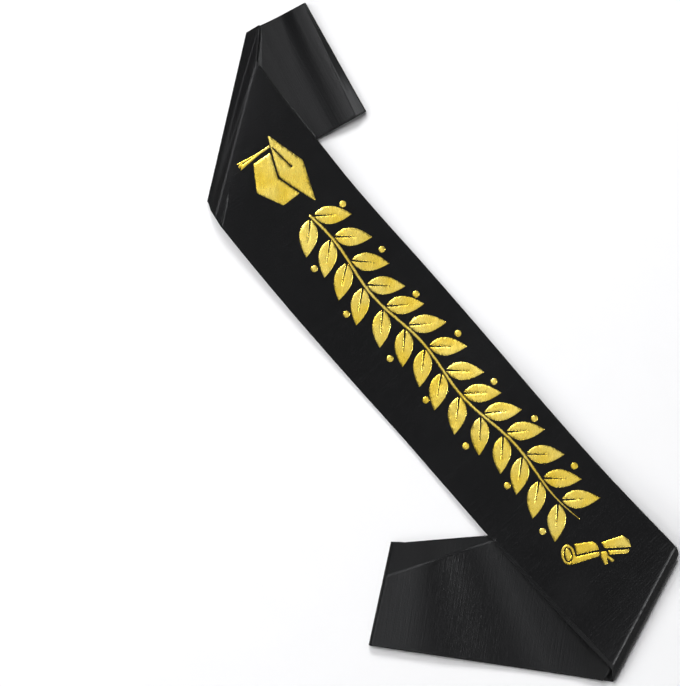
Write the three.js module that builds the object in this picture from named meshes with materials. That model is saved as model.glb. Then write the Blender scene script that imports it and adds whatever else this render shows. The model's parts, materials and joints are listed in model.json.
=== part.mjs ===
// A graduation sash: one closed loop of black satin band with gold foil trim, lying folded on a table.
// Millimetres and degrees. +Z is up, +Y is the top of the view and +X is to the right of it.
// The loop is flattened, so every stretch has two layers, and it is folded back at the shoulder and the hip:
// front panel, hip fold, tail (far layer), its end, tail (near layer), hip fold, back panel, shoulder fold,
// top piece (near layer), its end, top piece (far layer), shoulder fold, and the front panel again.
import * as THREE from 'three';

// The band
const bandWidth = 95;
const cloth = 1;
const layerGap = 0.4;
const foldClear = 3.4;

// The front panel, from the shoulder fold to the hip fold. It heads down to the right and bends a little.
const frontLength = 466;
const headingAtHip = -46.3;
const evenTurn = 3.1;
const shoulderTurn = 8.7;
const turnSharpness = 6;

// How the front and back panels come down: first to the layers under them, and then to the table
const foldSettle = 110;
const dropLength = 110;

// The folds: the direction of the fold line, how far its roll bulges out, and how far the cloth runs along it
const shoulderFold = { angle: 77, reach: 8.5, slide: 20.7 };
const hipFold = { angle: 62.5, reach: 8.5, slide: -16 };

// The top piece and the tail: lower edge's heading and length, width and angle at the end, and the end's roll
const topPiece = { heading: 26.4, length: 118, endWidth: 92, endAngle: 119.2, endReach: 6.5, endClear: 3.4 };
const tail = { heading: 171.4, length: 176.8, endWidth: 78.5, endAngle: 77.9, endReach: 4.5, endClear: 1.8 };

// The crease across the tail's near layer: how far it is from the upper edge at its start and its end, as
// shares of the width, how high it rises, and the part of that rise at each of a section's four places
const creaseStartShare = 0.07;
const creaseEndShare = 0.357;
const creaseRise = 1.5;
const creaseShape = [0, 0.3, 1, 0];

// The foil
const foil = 0.4;
const foilGap = 0.3;
const foilCurveSteps = 6;
const mostOfEdge = 0.45;

// The cap print, measured along and across the front panel. Across runs from its middle to the upper right.
const cap = { along: 47.5, across: 18.8, boardHalfLength: 31.6, boardHalfHeight: 11, boardGap: 1.3 };
const crown = { halfWidth: 19, sideHeight: 15.4, depth: 19.2, tipRound: 1.2 };
const tassel = { fromTip: 8.4, topWidth: 1.8, endWidth: 5.8, length: 28.2 };
const cordLine = { length: 21, width: 0.8, buttonRadius: 1.1 };

// The garland of leaves and berries
const garland = { gap: 5, across: 8.5, pairs: 14, firstPair: 0.12, waveHeight: 2.4, wavePairs: 4.7 };
const stemWidth = 2.2;
const stemTaper = { tip: 0.3, share: 0.25 };
const leaf = { length: 28.5, spacing: 2.9, swell: 0.34, angle: 49, gap: 1, veinWidth: 1.4, veinShare: 0.62 };
const berry = { radius: 2.6, outset: 1 };

// The scroll print. Its tie is set back from the hip fold, and it is drawn level round the tie, then turned.
// Its left end is a ring, drawn from the upper to the lower side of its mouth, where a strip runs off it.
const scroll = { fromHip: 49, across: 4.2, turn: 46.7, reach: 24, cornerRound: 0.6 };
const scrollRing = { x: -25.5, y: -2.9, halfWidth: 5.2, halfHeight: 7.6, wall: 1.9, coreGap: 0.9, tilt: 10 };
const ringMouth = { upper: -5.7, lower: -68.8 };
const scrollStrip = {
  topLeft: [-19.4, -4.2],
  topRight: [-2.2, -0.4],
  lowRight: [-2.2, -3.9],
  lowLeft: [-22.6, -10.4],
};

// The scroll's other pieces: their corners, x towards its right end and y up
const scrollPieces = {
  scroll_body_left: [[-19.3, -2.9], [-2.4, 0.9], [-4.2, 5.4], [-7.2, 7], [-21.2, 5.2], [-20, 1.4]],
  scroll_body_right: [[1.9, 2], [21.6, 2.9], [19.6, 8.6], [15, 11.7], [-0.8, 6.4]],
  scroll_lip_right: [[5, -2.8], [19.1, -1.9], [20.4, 1.1], [4.3, 0.4]],
  scroll_tie: [
    [-1.2, -0.4], [3.4, -0.2], [4.2, -3.2], [9.1, -6.7], [7.2, -8.6], [3.2, -5], [4.3, -9.6], [1.9, -10.5],
    [-1.2, -4.4],
  ],
};

// Mesh steps
const steps = { panel: 46, tail: 16, top: 10, fold: 9, end: 8, centreLine: 400, stem: 40, rulingPasses: 4 };

const degrees = Math.PI / 180;
const { lerp, clamp } = THREE.MathUtils;
const satin = new THREE.MeshStandardMaterial({ color: 0x18181b, roughness: 0.42, metalness: 0 });
const gold = new THREE.MeshStandardMaterial({ color: 0xd9b441, roughness: 0.28, metalness: 1 });

function heading(angle) {
  return new THREE.Vector2(Math.cos(angle * degrees), Math.sin(angle * degrees));
}

function smooth(share) {
  const t = clamp(share, 0, 1);
  return t * t * (3 - 2 * t);
}

function sine(angle) {
  return Math.sin(angle * degrees);
}

// The front panel's middle line. Its points run from the hip to the shoulder.
function frontHeading(along) {
  const share = 1 - clamp(along / frontLength, 0, 1);
  return headingAtHip - evenTurn * share - shoulderTurn * share ** turnSharpness;
}

function makeCentreLine() {
  const step = frontLength / steps.centreLine;
  const points = [new THREE.Vector2(0, 0)];
  for (let i = 0; i < steps.centreLine; i += 1) {
    const along = frontLength - (i + 0.5) * step;
    points.push(points[i].clone().addScaledVector(heading(frontHeading(along)), -step));
  }
  return points;
}

const centreLine = makeCentreLine();

function frontCentre(along) {
  const place = clamp((1 - along / frontLength) * steps.centreLine, 0, steps.centreLine);
  const before = Math.min(Math.floor(place), steps.centreLine - 1);
  return centreLine[before].clone().lerp(centreLine[before + 1], place - before);
}

// A ruling is a straight line across the band, from its lower or left edge to its upper or right edge.
function ruling(centre, angle, length) {
  return { centre, angle, length };
}

function frontRuling(along) {
  const angle = lerp(shoulderFold.angle, hipFold.angle, along / frontLength);
  return ruling(frontCentre(along), angle, bandWidth / sine(angle - frontHeading(along)));
}

// Heights of the layers' middles
const farLevel = cloth / 2;
const nearLevel = farLevel + cloth + layerGap;
const foldLift = 2 * cloth + layerGap + foldClear;
const overLift = 2 * (cloth + layerGap);

// Where the front panel and the piece folded under it cross: how far from the fold, along each one's edge
function crossing(line, fold, piece, frontAngle) {
  const frontSlant = Math.abs(fold.angle - frontAngle);
  const pieceSlant = Math.abs(fold.angle - piece.heading);
  const base = line.length - Math.abs(fold.slide);
  const apex = sine(Math.abs(180 - frontSlant) + Math.min(pieceSlant, 180 - pieceSlant));
  return { onFront: (base * sine(pieceSlant)) / apex, onPiece: (base * sine(frontSlant)) / apex };
}

const shoulderCrossing = crossing(frontRuling(0), shoulderFold, topPiece, frontHeading(0));
const hipCrossing = crossing(frontRuling(frontLength), hipFold, tail, frontHeading(frontLength));

function settled(distance, overlap) {
  const fromFold = (foldLift - overLift) * (1 - smooth(distance / foldSettle));
  return fromFold + overLift * (1 - smooth((distance - overlap) / dropLength));
}

function backLevel(along) {
  const fromShoulder = settled(along, shoulderCrossing.onFront);
  const fromHip = settled(frontLength - along, hipCrossing.onFront);
  return fromShoulder + fromHip + cloth / 2;
}

function frontLevel(along) {
  return backLevel(along) + cloth + layerGap;
}

// The rulings where the top piece and the tail start, under the folds
function slid(start, fold, piece) {
  const centre = start.centre.clone().addScaledVector(heading(fold.angle), fold.slide);
  return ruling(centre, fold.angle, bandWidth / sine(Math.abs(fold.angle - piece.heading)));
}

const topStart = slid(frontRuling(0), shoulderFold, topPiece);
const tailStart = slid(frontRuling(frontLength), hipFold, tail);

// A ruling of the top piece or the tail: its lower end runs along the straight lower edge.
function pieceRuling(start, fold, piece, share, narrowFrom) {
  const run = piece.length - piece.endReach - cloth / 2;
  const lowerStart = start.centre.clone().addScaledVector(heading(fold.angle), -start.length / 2);
  const lower = lowerStart.addScaledVector(heading(piece.heading), share * run);
  const angle = lerp(fold.angle, piece.endAngle, share);
  const narrowing = clamp((share - narrowFrom) / (1 - narrowFrom), 0, 1);
  const length = lerp(bandWidth, piece.endWidth, narrowing) / sine(Math.abs(angle - piece.heading));
  return ruling(lower.addScaledVector(heading(angle), length / 2), angle, length);
}

function topRuling(share) {
  return pieceRuling(topStart, shoulderFold, topPiece, share, 0);
}

// The end of a ruling on the band's upper or right edge
function upperEnd(line) {
  return line.centre.clone().addScaledVector(heading(line.angle), line.length / 2);
}

// The share of its length at which each piece comes out from under the front panel, and may rise or crease
const latestRise = 0.9;
const topRiseStart = Math.min(latestRise, shoulderCrossing.onPiece / topPiece.length);
const tailUpperEdge = upperEnd(tailStart).distanceTo(upperEnd(pieceRuling(tailStart, hipFold, tail, 1, 0)));
const tailRiseStart = Math.min(latestRise, hipCrossing.onPiece / tailUpperEdge);

function tailRuling(share) {
  return pieceRuling(tailStart, hipFold, tail, share, tailRiseStart);
}

// The crease's place across the band, as a share from the lower edge, and its height there
function creasePlace(share) {
  const grown = clamp((share - tailRiseStart) / (1 - tailRiseStart), 0, 1);
  return 1 - lerp(creaseStartShare, creaseEndShare, grown);
}

function creaseHeight(share) {
  return creaseRise * smooth((share - tailRiseStart) / (1 - tailRiseStart));
}

// The four places across the band that each section has: both edges, the crease and halfway to it
function acrossPlaces(crease) {
  return [0, crease / 2, crease, 1];
}

function section(line, levels, crease) {
  const direction = heading(line.angle);
  return acrossPlaces(crease).map((place, column) => {
    const point = line.centre.clone().addScaledVector(direction, (place - 0.5) * line.length);
    return new THREE.Vector3(point.x, point.y, levels[column]);
  });
}

function flat(level) {
  return [level, level, level, level];
}

// Clear height inside the top piece and the tail, which open a little towards their ends
function openLevels(piece, riseStart, share, ridge) {
  const rise = smooth((share - riseStart) / (1 - riseStart));
  const level = lerp(nearLevel, farLevel + cloth + piece.endClear, rise);
  return creaseShape.map((part) => level + part * ridge);
}

function shares(count) {
  return Array.from({ length: count + 1 }, (_, i) => i / count);
}

// A fold's roll, from one level to another. Its rulings bulge out past the fold line and slide along it.
function foldSections(from, to, fold, outward, reach, crease, levelFrom, levelTo) {
  return shares(steps.fold).slice(1, -1).map((share) => {
    const turn = share * Math.PI;
    const centre = from.centre.clone().lerp(to.centre, share);
    centre.addScaledVector(heading(fold.angle + outward), reach * Math.sin(turn));
    const level = (levelFrom + levelTo) / 2 + ((levelFrom - levelTo) / 2) * Math.cos(turn);
    return section(ruling(centre, fold.angle, lerp(from.length, to.length, share)), flat(level), crease);
  });
}

// The turn at the end of the top piece or the tail, from the levels of one layer to those of the other
function endSections(line, piece, outward, crease, levelsFrom, levelsTo) {
  return shares(steps.end).slice(1, -1).map((share) => {
    const turn = share * Math.PI;
    const centre = line.centre.clone();
    centre.addScaledVector(heading(line.angle + outward), piece.endReach * Math.sin(turn));
    const levels = levelsFrom.map((from, column) => {
      const to = levelsTo[column];
      return (from + to) / 2 + ((from - to) / 2) * Math.cos(turn);
    });
    return section(ruling(centre, line.angle, line.length), levels, crease);
  });
}

function tailSections(near) {
  return shares(steps.tail).map((share) => {
    const ridge = creaseHeight(share);
    const levels = near ? openLevels(tail, tailRiseStart, share, ridge) : flat(farLevel);
    return section(tailRuling(share), levels, creasePlace(share));
  });
}

function topSections(near) {
  return shares(steps.top).map((share) => {
    const levels = near ? openLevels(topPiece, topRiseStart, share, 0) : flat(farLevel);
    return section(topRuling(share), levels, creasePlace(0));
  });
}

function panelSections(levelAt) {
  return shares(steps.panel).map((share) => {
    const along = share * frontLength;
    return section(frontRuling(along), flat(levelAt(along)), creasePlace(0));
  });
}

// The whole loop, section by section
function loopSections() {
  const plain = creasePlace(0);
  const innerReach = (fold) => fold.reach - cloth - layerGap;
  const shoulder = frontRuling(0);
  const hip = frontRuling(frontLength);
  const tailLevels = openLevels(tail, tailRiseStart, 1, creaseHeight(1));
  const topLevels = openLevels(topPiece, topRiseStart, 1, 0);
  const hipOut = foldSections(
    hip, tailRuling(0), hipFold, -90, hipFold.reach, plain, frontLevel(frontLength), farLevel,
  );
  const hipIn = foldSections(
    tailRuling(0), hip, hipFold, -90, innerReach(hipFold), plain, nearLevel, backLevel(frontLength),
  );
  const shoulderIn = foldSections(
    shoulder, topRuling(0), shoulderFold, 90, innerReach(shoulderFold), plain, backLevel(0), nearLevel,
  );
  const shoulderOut = foldSections(
    topRuling(0), shoulder, shoulderFold, 90, shoulderFold.reach, plain, farLevel, frontLevel(0),
  );
  return [
    ...panelSections(frontLevel),
    ...hipOut,
    ...tailSections(false),
    ...endSections(tailRuling(1), tail, 90, creasePlace(1), flat(farLevel), tailLevels),
    ...tailSections(true).reverse(),
    ...hipIn,
    ...panelSections(backLevel).reverse(),
    ...shoulderIn,
    ...topSections(true),
    ...endSections(topRuling(1), topPiece, -90, plain, topLevels, flat(farLevel)),
    ...topSections(false).reverse(),
    ...shoulderOut,
  ];
}

// Cloth of even thickness round the sections' middle surface. The loop closes on itself.
function clothLoop(sections, thickness) {
  const rows = sections.length;
  const columns = sections[0].length;
  const at = (i, j) => sections[(i + rows) % rows][clamp(j, 0, columns - 1)];
  const positions = [];
  const addSide = (side) => {
    for (let i = 0; i < rows; i += 1) {
      for (let j = 0; j < columns; j += 1) {
        const along = at(i + 1, j).clone().sub(at(i - 1, j));
        const across = at(i, j + 1).clone().sub(at(i, j - 1));
        const normal = along.cross(across).normalize();
        const point = at(i, j).clone().addScaledVector(normal, (side * thickness) / 2);
        positions.push(point.x, point.y, point.z);
      }
    }
  };
  addSide(1);
  addSide(-1);
  const outside = (i, j) => (i % rows) * columns + j;
  const inside = (i, j) => rows * columns + outside(i, j);
  const triangles = [];
  const quad = (a, b, c, d) => triangles.push(a, b, c, a, c, d);
  for (let i = 0; i < rows; i += 1) {
    for (let j = 0; j < columns - 1; j += 1) {
      quad(outside(i, j), outside(i + 1, j), outside(i + 1, j + 1), outside(i, j + 1));
      quad(inside(i, j), inside(i, j + 1), inside(i + 1, j + 1), inside(i + 1, j));
    }
    const last = columns - 1;
    quad(outside(i, 0), inside(i, 0), inside(i + 1, 0), outside(i + 1, 0));
    quad(outside(i, last), outside(i + 1, last), inside(i + 1, last), inside(i, last));
  }
  const geometry = new THREE.BufferGeometry();
  geometry.setAttribute('position', new THREE.Float32BufferAttribute(positions, 3));
  geometry.setIndex(triangles);
  return geometry;
}

// Where a point of the foil lies: along and across the front panel, and above its cloth. The ruling through
// it is found in a few passes, as its slant changes along the panel.
function onFront(along, across, above) {
  let rulingAlong = along;
  for (let pass = 0; pass < steps.rulingPasses; pass += 1) {
    const line = frontRuling(rulingAlong);
    const slant = (line.angle - frontHeading(rulingAlong)) * degrees;
    rulingAlong = along - across / Math.tan(slant);
  }
  const side = heading(frontHeading(along) + 90);
  const point = frontCentre(along).addScaledVector(side, across);
  return new THREE.Vector3(point.x, point.y, frontLevel(rulingAlong) + cloth / 2 + foilGap + above);
}

const group = new THREE.Group();
const sash = new THREE.Group();
group.add(sash);

function addMesh(name, geometry, material) {
  const mesh = new THREE.Mesh(geometry, material);
  mesh.name = name;
  sash.add(mesh);
}

// A piece of foil, cut to a shape drawn along (x) and across (y) the front panel
function addFoil(name, shape) {
  const extrusion = { depth: foil, bevelEnabled: false, curveSegments: foilCurveSteps };
  const geometry = new THREE.ExtrudeGeometry(shape, extrusion);
  const position = geometry.getAttribute('position');
  for (let i = 0; i < position.count; i += 1) {
    const point = onFront(position.getX(i), position.getY(i), position.getZ(i));
    position.setXYZ(i, point.x, point.y, point.z);
  }
  addMesh(name, geometry, gold);
}

// A shape with its corners rounded by up to a radius, or less where an edge is short
function roundedShape(corners, radius) {
  const shape = new THREE.Shape();
  const points = corners.map(([x, y]) => new THREE.Vector2(x, y));
  points.forEach((corner, i) => {
    const before = points[(i + points.length - 1) % points.length];
    const after = points[(i + 1) % points.length];
    const enter = corner.clone().lerp(before, Math.min(mostOfEdge, radius / corner.distanceTo(before)));
    const leave = corner.clone().lerp(after, Math.min(mostOfEdge, radius / corner.distanceTo(after)));
    if (i === 0) {
      shape.moveTo(enter.x, enter.y);
    } else {
      shape.lineTo(enter.x, enter.y);
    }
    shape.quadraticCurveTo(corner.x, corner.y, leave.x, leave.y);
  });
  shape.closePath();
  return shape;
}

// Moves drawn points to a place on the band, turned by an angle
function placed(corners, along, across, turn) {
  const x = heading(turn);
  return corners.map(([u, v]) => [along + u * x.x - v * x.y, across + u * x.y + v * x.x]);
}

// The mortarboard cap: the board, with the cord's line cut in it, the crown under it, and the tassel
function addCap() {
  const { along, across, boardHalfLength, boardHalfHeight, boardGap } = cap;
  const slope = boardHalfHeight / boardHalfLength;
  const edgeHeight = (x) => -boardHalfHeight + Math.abs(x) * slope;
  const board = roundedShape(
    placed([
      [-boardHalfLength, 0],
      [0, -boardHalfHeight],
      [boardHalfLength, 0],
      [0, boardHalfHeight],
    ], along, across, 0),
    2 * crown.tipRound,
  );
  const { length, width, buttonRadius } = cordLine;
  const cordSlope = Math.atan2(slope * (boardHalfLength - length), length) / degrees;
  const line = placed([
    [-length, -width / 2],
    [-buttonRadius, -width / 2],
    [0, -buttonRadius],
    [buttonRadius, 0],
    [0, buttonRadius],
    [-buttonRadius, width / 2],
    [-length, width / 2],
  ], along - buttonRadius, across + buttonRadius, cordSlope);
  board.holes.push(new THREE.Path(line.map(([x, y]) => new THREE.Vector2(x, y))));
  addFoil('cap_board', board);
  const sideTop = edgeHeight(crown.halfWidth) - boardGap;
  const crownCorners = [
    [-crown.halfWidth, sideTop],
    [-crown.halfWidth, sideTop - crown.sideHeight],
    [0, -boardHalfHeight - boardGap - crown.depth],
    [crown.halfWidth, sideTop - crown.sideHeight],
    [crown.halfWidth, sideTop],
    [0, -boardHalfHeight - boardGap],
  ];
  addFoil('cap_crown', roundedShape(placed(crownCorners, along, across, 0), crown.tipRound));
  const tasselX = tassel.fromTip - boardHalfLength;
  const tasselTop = edgeHeight(tasselX) - boardGap / 2;
  const tasselCorners = [
    [tasselX - tassel.topWidth / 2, tasselTop + (tassel.topWidth * slope) / 2],
    [tasselX - tassel.topWidth / 2, tasselTop - tassel.length / 3],
    [tasselX - tassel.endWidth / 2, tasselTop - tassel.length],
    [tasselX + tassel.endWidth / 2, tasselTop - tassel.length],
    [tasselX + tassel.topWidth / 2, tasselTop - tassel.length / 3],
    [tasselX + tassel.topWidth / 2, tasselTop - (tassel.topWidth * slope) / 2],
  ];
  addFoil('cap_tassel', roundedShape(placed(tasselCorners, along, across, 0), tassel.topWidth / 4));
}

// The garland: a wavy stem from the cap to the scroll, with a pair of leaves and a berry at each pitch
const scrollAlong = frontLength - scroll.fromHip;
const garlandStart = cap.along + cap.boardHalfLength + garland.gap;
const garlandLength = scrollAlong - scroll.reach - garland.gap - garlandStart;
const leafWidth = (garlandLength / garland.pairs) * sine(leaf.angle) - leaf.spacing;

function stemPoint(share) {
  const turnRate = (garland.pairs * 2 * Math.PI) / garland.wavePairs;
  const slope = (garland.waveHeight * turnRate) / garlandLength;
  return {
    along: garlandStart + share * garlandLength,
    across: garland.across + garland.waveHeight * Math.sin(share * turnRate),
    angle: Math.atan(slope * Math.cos(share * turnRate)) / degrees,
  };
}

function stemEdge(side) {
  return shares(steps.stem).map((share) => {
    const point = stemPoint(share);
    const taper = (stemWidth / 2) * Math.min(1, stemTaper.tip + (1 - share) / stemTaper.share);
    const off = heading(point.angle + 90).multiplyScalar(side * taper);
    return new THREE.Vector2(point.along + off.x, point.across + off.y);
  });
}

// A leaf's base, beside the stem, and the way it points. Side 1 is the upper right and -1 the lower left.
function leafBase(pair, side) {
  const point = stemPoint((pair + garland.firstPair) / garland.pairs);
  const off = heading(point.angle + side * 90).multiplyScalar(stemWidth / 2 + leaf.gap);
  return {
    along: point.along + off.x,
    across: point.across + off.y,
    turn: point.angle / 2 + side * leaf.angle,
  };
}

function leafPoints(base, drawn) {
  return placed(drawn, base.along, base.across, base.turn);
}

function leafShape(base) {
  const [start, leftSwell, tip, rightSwell, end, veinEnd] = leafPoints(base, [
    [0, leaf.veinWidth / 2],
    [leaf.length * leaf.swell, leafWidth],
    [leaf.length, 0],
    [leaf.length * leaf.swell, -leafWidth],
    [0, -leaf.veinWidth / 2],
    [leaf.length * leaf.veinShare, 0],
  ]);
  const shape = new THREE.Shape();
  shape.moveTo(...start);
  shape.quadraticCurveTo(...leftSwell, ...tip);
  shape.quadraticCurveTo(...rightSwell, ...end);
  shape.lineTo(...veinEnd);
  shape.closePath();
  return shape;
}

// A berry sits between the tips of two leaves on the same side.
function berryShape(pair, side) {
  const [[along, across]] = leafPoints(leafBase(pair, side), [[leaf.length, 0]]);
  const [[nextAlong, nextAcross]] = leafPoints(leafBase(pair - 1, side), [[leaf.length, 0]]);
  const shape = new THREE.Shape();
  const middle = (across + nextAcross) / 2 + side * berry.outset;
  shape.absarc((along + nextAlong) / 2, middle, berry.radius, 0, 2 * Math.PI);
  return shape;
}

function addGarland() {
  addFoil('garland_stem', new THREE.Shape([...stemEdge(-1), ...stemEdge(1).reverse()]));
  const number = (n) => String(n + 1).padStart(2, '0');
  for (let pair = 0; pair < garland.pairs; pair += 1) {
    addFoil(`garland_leaf_${number(2 * pair)}`, leafShape(leafBase(pair, 1)));
    addFoil(`garland_leaf_${number(2 * pair + 1)}`, leafShape(leafBase(pair, -1)));
    addFoil(`garland_berry_${number(pair)}`, berryShape(pair, pair % 2 === 0 ? 1 : -1));
  }
}

// The tied scroll: its pieces, and its rolled end, a ring with a strip running off it and a core inside
function onScroll(corners) {
  return placed(corners, scrollAlong, scroll.across, scroll.turn);
}

function addScroll() {
  Object.entries(scrollPieces).forEach(([name, corners]) => {
    addFoil(name, roundedShape(onScroll(corners), scroll.cornerRound));
  });
  const { x, y, halfWidth, halfHeight, wall, coreGap } = scrollRing;
  const [[ringAlong, ringAcross]] = onScroll([[x, y]]);
  const tilt = (scroll.turn + scrollRing.tilt) * degrees;
  const ellipse = (path, inset, from, to) => path.absellipse(
    ringAlong, ringAcross, halfWidth - inset, halfHeight - inset, from, to, false, tilt,
  );
  const [topLeft, topRight, lowRight, lowLeft] = onScroll([
    scrollStrip.topLeft, scrollStrip.topRight, scrollStrip.lowRight, scrollStrip.lowLeft,
  ]);
  const ring = new THREE.Shape();
  ellipse(ring, 0, ringMouth.upper * degrees, 2 * Math.PI + ringMouth.lower * degrees);
  ring.lineTo(...lowLeft);
  ring.lineTo(...lowRight);
  ring.lineTo(...topRight);
  ring.lineTo(...topLeft);
  ring.closePath();
  ring.holes.push(ellipse(new THREE.Path(), wall, 0, 2 * Math.PI));
  addFoil('scroll_ring', ring);
  addFoil('scroll_core', ellipse(new THREE.Shape(), wall + coreGap, 0, 2 * Math.PI));
}

addMesh('ribbon_band', clothLoop(loopSections(), cloth), satin);
addCap();
addGarland();
addScroll();

// The origin is under the middle of the sash's box, on the table.
const box = new THREE.Box3().setFromObject(sash);
sash.position.set(-(box.min.x + box.max.x) / 2, -(box.min.y + box.max.y) / 2, -box.min.z);

export default group;
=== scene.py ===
# A graduation sash: a flattened loop of black satin band, folded at the shoulder and the hip, with gold foil.
# Lengths are in millimetres until a mesh is made. +Z is up and the table is at 0.
import json
import math

import bpy
import numpy as np
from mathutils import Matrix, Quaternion, Vector, noise
from mathutils.geometry import delaunay_2d_cdt

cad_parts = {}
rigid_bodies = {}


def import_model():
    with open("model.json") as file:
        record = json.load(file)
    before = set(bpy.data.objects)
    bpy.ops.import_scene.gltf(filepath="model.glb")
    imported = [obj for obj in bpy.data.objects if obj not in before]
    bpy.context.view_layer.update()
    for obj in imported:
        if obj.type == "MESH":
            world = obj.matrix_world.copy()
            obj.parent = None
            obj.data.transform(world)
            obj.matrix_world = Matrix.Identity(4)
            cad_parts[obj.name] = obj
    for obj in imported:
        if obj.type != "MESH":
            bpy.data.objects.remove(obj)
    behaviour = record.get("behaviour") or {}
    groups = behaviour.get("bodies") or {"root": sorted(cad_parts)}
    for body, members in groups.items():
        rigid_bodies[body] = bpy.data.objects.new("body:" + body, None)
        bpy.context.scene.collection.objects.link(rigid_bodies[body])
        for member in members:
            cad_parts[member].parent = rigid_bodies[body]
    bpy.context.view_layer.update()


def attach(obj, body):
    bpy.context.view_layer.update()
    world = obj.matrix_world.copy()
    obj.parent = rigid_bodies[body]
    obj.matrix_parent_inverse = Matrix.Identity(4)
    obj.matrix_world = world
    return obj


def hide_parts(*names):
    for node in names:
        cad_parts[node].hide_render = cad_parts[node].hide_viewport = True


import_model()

MM = 0.001

# The photograph's frame, and how its pixels lie on the table
FRAME_WIDE, FRAME_HIGH = 680, 686
MM_PER_PIXEL = 0.748
PIXEL_OF_ORIGIN = (443.25, 343.25)

# Where the front panel's middle line meets the hip fold
HIP_POINT = np.array((149.079, -193.237))

# The band, as the CAD source has it
BAND_WIDTH = 95.0
CAD_CLOTH = 1.0
LAYER_GAP = 0.4
FOLD_CLEAR = 3.4
FRONT_LENGTH = 466.0
HEADING_AT_HIP = -46.3
EVEN_TURN = 3.1
SHOULDER_TURN = 8.7
TURN_SHARPNESS = 6
FOLD_SETTLE = 110.0
DROP_LENGTH = 110.0
SHOULDER_FOLD = {"angle": 77.0, "reach": 8.5, "slide": 17.2}
HIP_FOLD = {"angle": 62.5, "reach": 7.7, "slide": -16.0}
TOP_PIECE = {
    "heading": 29.0, "length": 124.7,
    "end_width": 93.2, "end_angle": 119.8, "end_reach": 6.5, "end_clear": 3.4,
}
TAIL = {
    "heading": 171.4, "length": 176.8,
    "end_width": 78.5, "end_angle": 77.9, "end_reach": 4.5, "end_clear": 1.8,
}
CREASE_START, CREASE_END, CREASE_DROP = 0.07, 0.357, 0.9

# The cloth as it is drawn here: its real thickness, and the mesh's columns across the band
CLOTH = 0.35
COLUMNS = 49
ROW_STEP = 3.0

FAR_LEVEL = CAD_CLOTH / 2
NEAR_LEVEL = FAR_LEVEL + CAD_CLOTH + LAYER_GAP
FOLD_LIFT = 2 * CAD_CLOTH + LAYER_GAP + FOLD_CLEAR
OVER_LIFT = 2 * (CAD_CLOTH + LAYER_GAP)
# From the middle of a CAD layer up to the middle of the thin cloth, so that their top faces agree
TOP_SHIFT = (CAD_CLOTH - CLOTH) / 2
FLOOR_LEVEL = CLOTH / 2


def lerp(a, b, share):
    return a + (b - a) * share


def clamp(value, low=0.0, high=1.0):
    return min(max(value, low), high)


def smooth(share):
    t = clamp(share)
    return t * t * (3 - 2 * t)


def at_pixel(x, y):
    """Where a pixel of the photograph lies on the table"""
    return np.array((x - PIXEL_OF_ORIGIN[0], PIXEL_OF_ORIGIN[1] - y)) * MM_PER_PIXEL


def sine(angle):
    return math.sin(math.radians(angle))


def heading(angle):
    return np.array((math.cos(math.radians(angle)), math.sin(math.radians(angle))))


# ---- the front panel's middle line ----
def front_heading(along):
    share = 1 - clamp(along / FRONT_LENGTH)
    return HEADING_AT_HIP - EVEN_TURN * share - SHOULDER_TURN * share**TURN_SHARPNESS


LINE_STEPS = 400
LINE_STEP = FRONT_LENGTH / LINE_STEPS
middle_line = [HIP_POINT]
for i in range(LINE_STEPS):
    step_middle = FRONT_LENGTH - (i + 0.5) * LINE_STEP
    middle_line.append(middle_line[-1] - LINE_STEP * heading(front_heading(step_middle)))


def front_centre(along):
    place = clamp((1 - along / FRONT_LENGTH) * LINE_STEPS, 0, LINE_STEPS)
    before = min(int(place), LINE_STEPS - 1)
    return lerp(middle_line[before], middle_line[before + 1], place - before)


# A ruling is a straight line across the band: its middle, direction and length.
def front_ruling(along):
    angle = lerp(SHOULDER_FOLD["angle"], HIP_FOLD["angle"], along / FRONT_LENGTH)
    return front_centre(along), angle, BAND_WIDTH / sine(angle - front_heading(along))


# How far the front panel's edges lie to the upper right of the plain band's: places along, and millimetres
LOWER_EDGE = ((0, 230, 300, 334, 390, 430, 466), (0, 0, -1.8, -3.0, -3.7, -4.4, -4.0))
UPPER_EDGE = (
    (0, 45, 85, 110, 150, 190, 235, 280, 320, 360, 400, 466),
    (-6.0, -1.5, 1.0, 0.9, 2.0, 3.1, 2.9, 1.8, 0.2, -1.0, -1.7, -1.2),
)
EVENED_OVER = 14.0


def evened(along, table):
    spread = np.linspace(-1, 1, 7)
    return float(np.mean(np.interp(along + EVENED_OVER * spread, *table)))


def fitted_ruling(along):
    centre, angle, length = front_ruling(along)
    slant = sine(angle - front_heading(along))
    lower, upper = evened(along, LOWER_EDGE) / slant, evened(along, UPPER_EDGE) / slant
    return centre + (lower + upper) / 2 * heading(angle), angle, length + upper - lower


def crossing(line, fold, piece, front_angle):
    front_slant = abs(fold["angle"] - front_angle)
    piece_slant = abs(fold["angle"] - piece["heading"])
    base = line[2] - abs(fold["slide"])
    apex = sine(abs(180 - front_slant) + min(piece_slant, 180 - piece_slant))
    return base * sine(piece_slant) / apex, base * sine(front_slant) / apex


SHOULDER_CROSS = crossing(front_ruling(0), SHOULDER_FOLD, TOP_PIECE, front_heading(0))
HIP_CROSS = crossing(front_ruling(FRONT_LENGTH), HIP_FOLD, TAIL, front_heading(FRONT_LENGTH))


def settled(distance, overlap):
    from_fold = (FOLD_LIFT - OVER_LIFT) * (1 - smooth(distance / FOLD_SETTLE))
    return from_fold + OVER_LIFT * (1 - smooth((distance - overlap) / DROP_LENGTH))


def back_level(along):
    lift = settled(along, SHOULDER_CROSS[0]) + settled(FRONT_LENGTH - along, HIP_CROSS[0])
    return lift + CAD_CLOTH / 2


def front_level(along):
    return back_level(along) + CAD_CLOTH + LAYER_GAP


# ---- the top piece and the tail ----
def slid(start, fold, piece):
    centre, angle, _ = start
    length = BAND_WIDTH / sine(abs(fold["angle"] - piece["heading"]))
    return centre + fold["slide"] * heading(fold["angle"]), angle, length


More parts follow.
